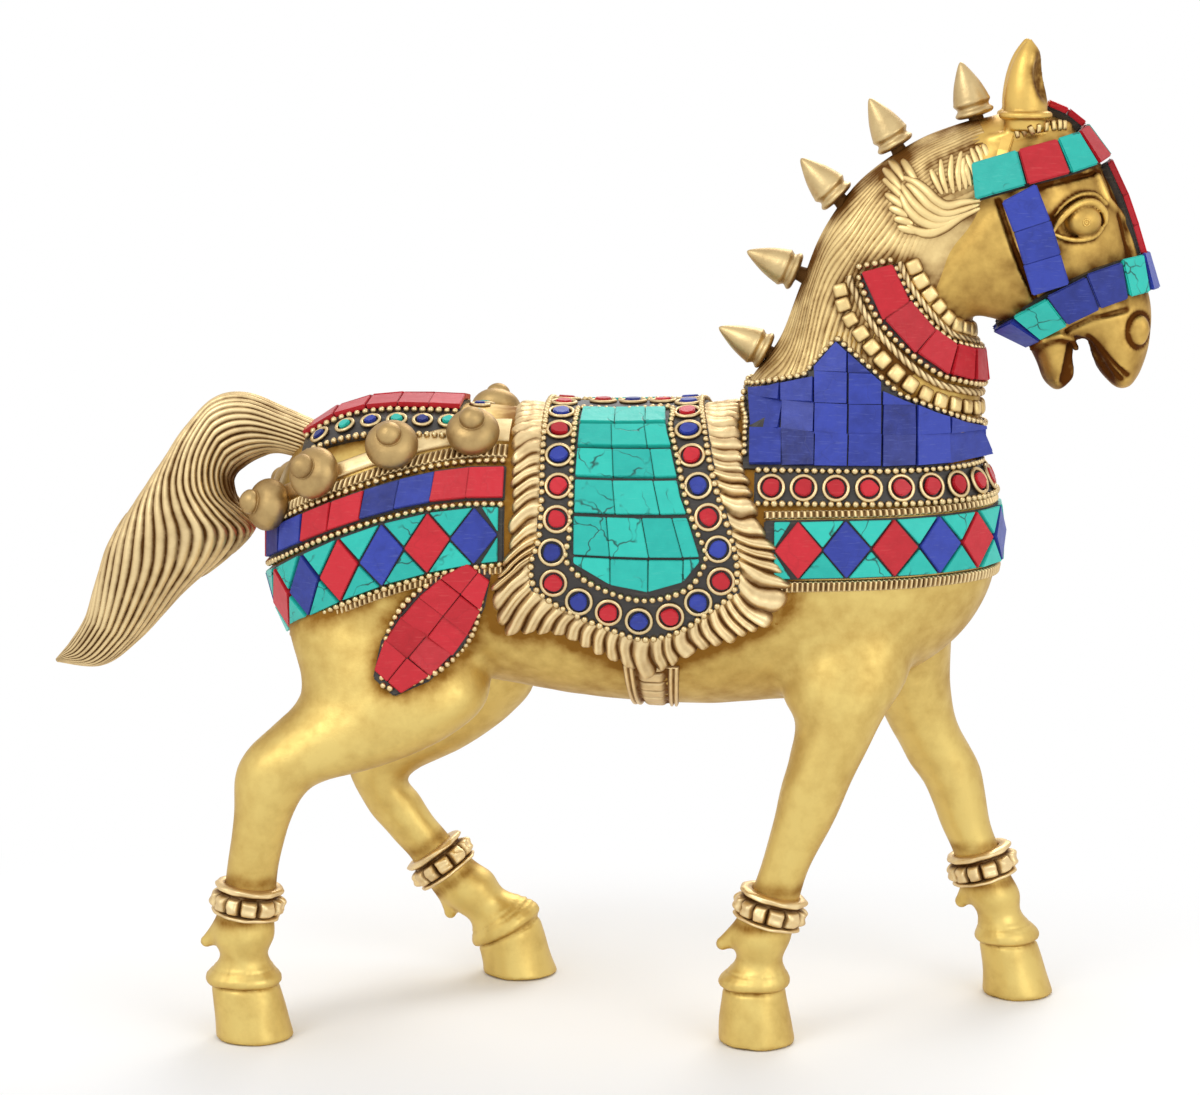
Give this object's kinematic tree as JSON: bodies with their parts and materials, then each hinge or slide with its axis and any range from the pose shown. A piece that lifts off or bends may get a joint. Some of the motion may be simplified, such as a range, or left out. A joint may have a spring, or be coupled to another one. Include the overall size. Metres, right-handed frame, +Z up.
{
  "type": "horse statue",
  "caption": "Standing brass horse figure with saddle cloth, bridle, collar and belts inlaid with turquoise, coral and lapis tiles in black mastic.",
  "frame": {"origin": "middle of the bounding box's underside, on the floor under the belly", "axes": "+X towards the muzzle, +Y towards the horse's left side, +Z up"},
  "size_m": [0.3313, 0.0978, 0.2938],
  "materials": {
    "brass": "cast brass, hand chased, satin with brown patina in the recesses",
    "mastic": "black lac mastic, rubbed flat",
    "coral": "red coral coloured stone, satin polished",
    "turquoise": "turquoise coloured stone with dark veins, satin polished",
    "lapis": "lapis coloured stone with pale scratches, satin polished"
  },
  "bodies": {
    "root": {"torso": "brass", "neck": "brass", "head": "brass", "lower_jaw": "brass", "ear_near": "brass", "ear_far": "brass", "tail": "brass", "leg_front_near": "brass", "leg_front_far": "brass", "leg_hind_near": "brass", "leg_hind_far": "brass", "anklet_front_near": "brass", "anklet_front_far": "brass", "anklet_hind_near": "brass", "anklet_hind_far": "brass", "saddle_cloth": "brass", "saddle_fringe": "brass", "girth_strap": "brass", "saddle_bed": "mastic", "saddle_turquoise": "turquoise", "saddle_coral": "coral", "saddle_lapis": "lapis", "saddle_rings_brass": "brass", "saddle_bead_wire": "brass", "shoulder_bed": "mastic", "shoulder_lapis": "lapis", "shoulder_bead_wire": "brass", "chest_ring_bed": "mastic", "chest_ring_coral": "coral", "chest_rings_brass": "brass", "chest_band_bed": "mastic", "chest_coral": "coral", "chest_lapis": "lapis", "chest_turquoise": "turquoise", "collar_bed": "mastic", "collar_coral": "coral", "collar_studs": "brass", "collar_bead_wire": "brass", "browband_bed": "mastic", "noseband_bed": "mastic", "strap_beds": "mastic", "bridle_turquoise": "turquoise", "bridle_coral": "coral", "bridle_lapis": "lapis", "crown_strap": "brass", "crupper_bed": "mastic", "crupper_coral": "coral", "crupper_turquoise": "turquoise", "crupper_lapis": "lapis", "crupper_rings_brass": "brass", "rump_knobs": "brass", "rump_tile_bed": "mastic", "rump_band_bed": "mastic", "rump_coral": "coral", "rump_lapis": "lapis", "rump_turquoise": "turquoise", "rump_bead_wire": "brass", "thigh_bed": "mastic", "thigh_coral": "coral", "mane_finials": "brass"}
  },
  "joints": []
}
